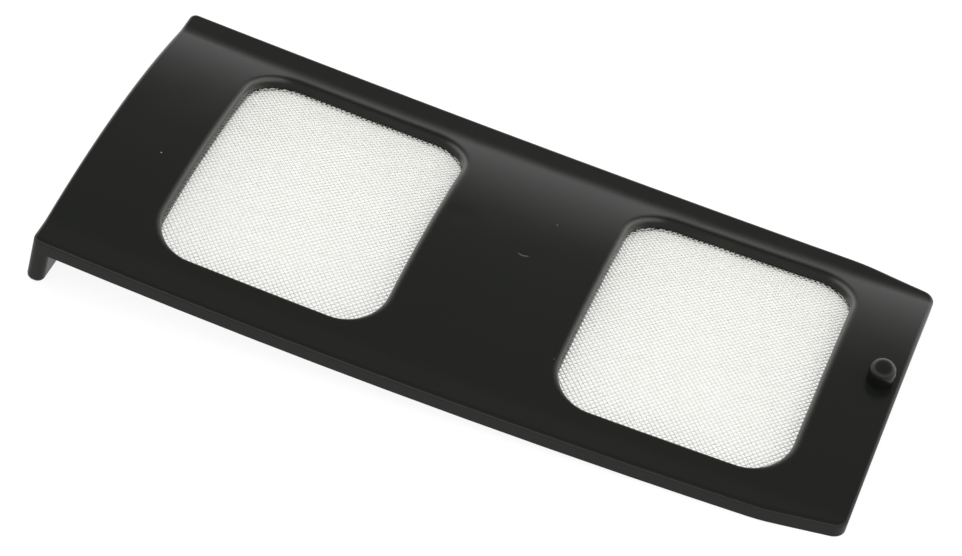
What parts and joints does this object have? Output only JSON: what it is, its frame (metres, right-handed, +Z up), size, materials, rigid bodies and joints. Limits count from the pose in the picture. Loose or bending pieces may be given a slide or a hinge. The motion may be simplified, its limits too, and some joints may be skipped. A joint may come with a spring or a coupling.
{
  "type": "kettle limescale filter",
  "caption": "Arched black plastic plate with a hook under one end and a pip on the other, holding panels of fine white mesh that keep limescale out of poured water.",
  "frame": {"origin": "middle of the plan, level with the foot of the hook", "axes": "+X along the filter from its hooked end to its free end, +Y across it, +Z up out of the arched face"},
  "size_m": [0.0868, 0.0406, 0.0107],
  "materials": {
    "frame": "moulded, semi-gloss black",
    "mesh": "woven white nylon monofilament"
  },
  "bodies": {
    "root": {"frame": "frame", "hook_end_mesh": "mesh", "free_end_mesh": "mesh"}
  },
  "joints": []
}
